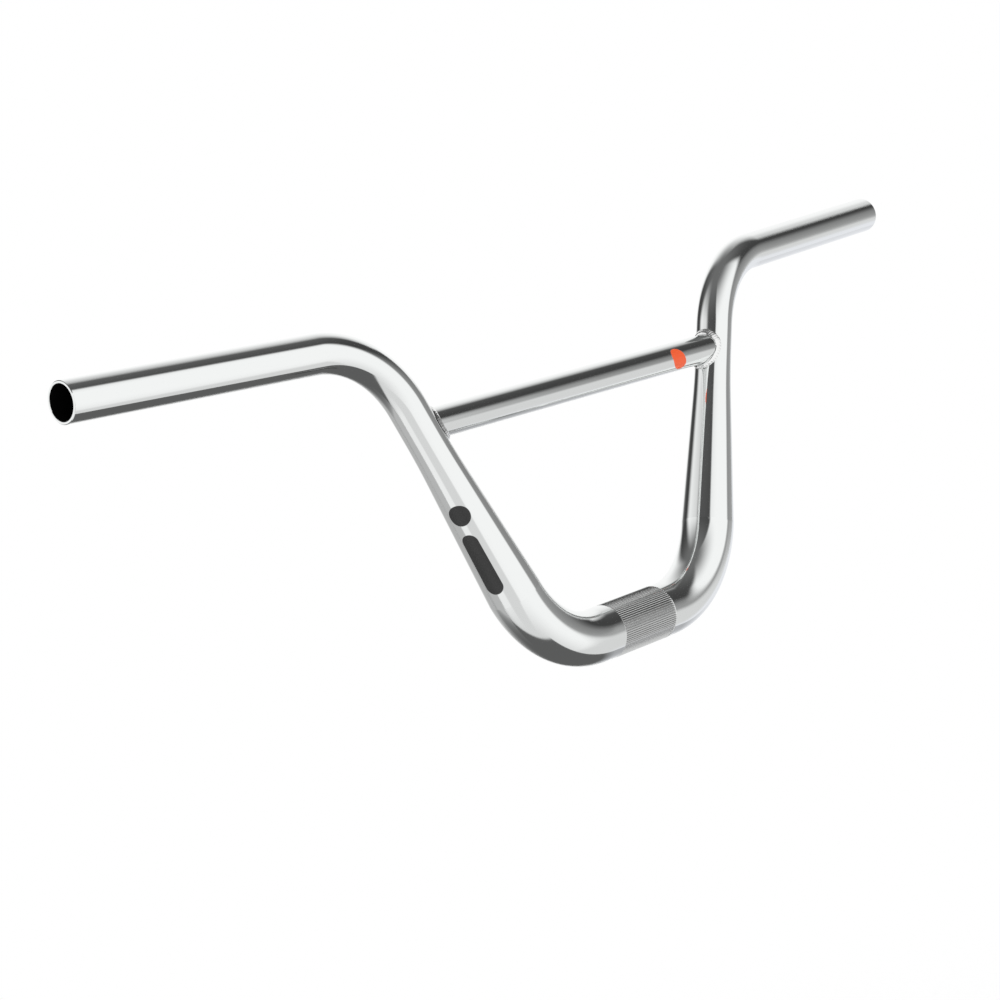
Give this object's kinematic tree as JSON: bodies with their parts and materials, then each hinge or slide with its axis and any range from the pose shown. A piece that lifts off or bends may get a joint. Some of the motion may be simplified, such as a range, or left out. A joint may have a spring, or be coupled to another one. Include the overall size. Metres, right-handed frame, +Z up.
{
  "type": "bmx handlebar",
  "caption": "High-rise BMX race handlebar: a bent tapered metal tube with a knurled stem clamp, swept-back open grips and a crossbar welded between its legs.",
  "frame": {"origin": "middle of the stem clamp, on its axis", "axes": "+X along the clamp to the right grip, +Y to the rider, the way the grips sweep back, +Z up along the rise of the legs"},
  "size_m": [0.7388, 0.0474, 0.2262],
  "materials": {
    "bar_alloy": "polished",
    "crossbar_alloy": "polished",
    "weld_metal": "rippled, bright"
  },
  "bodies": {
    "root": {"main_tube": "bar_alloy", "crossbar": "crossbar_alloy", "weld_beads": "weld_metal"}
  },
  "joints": []
}
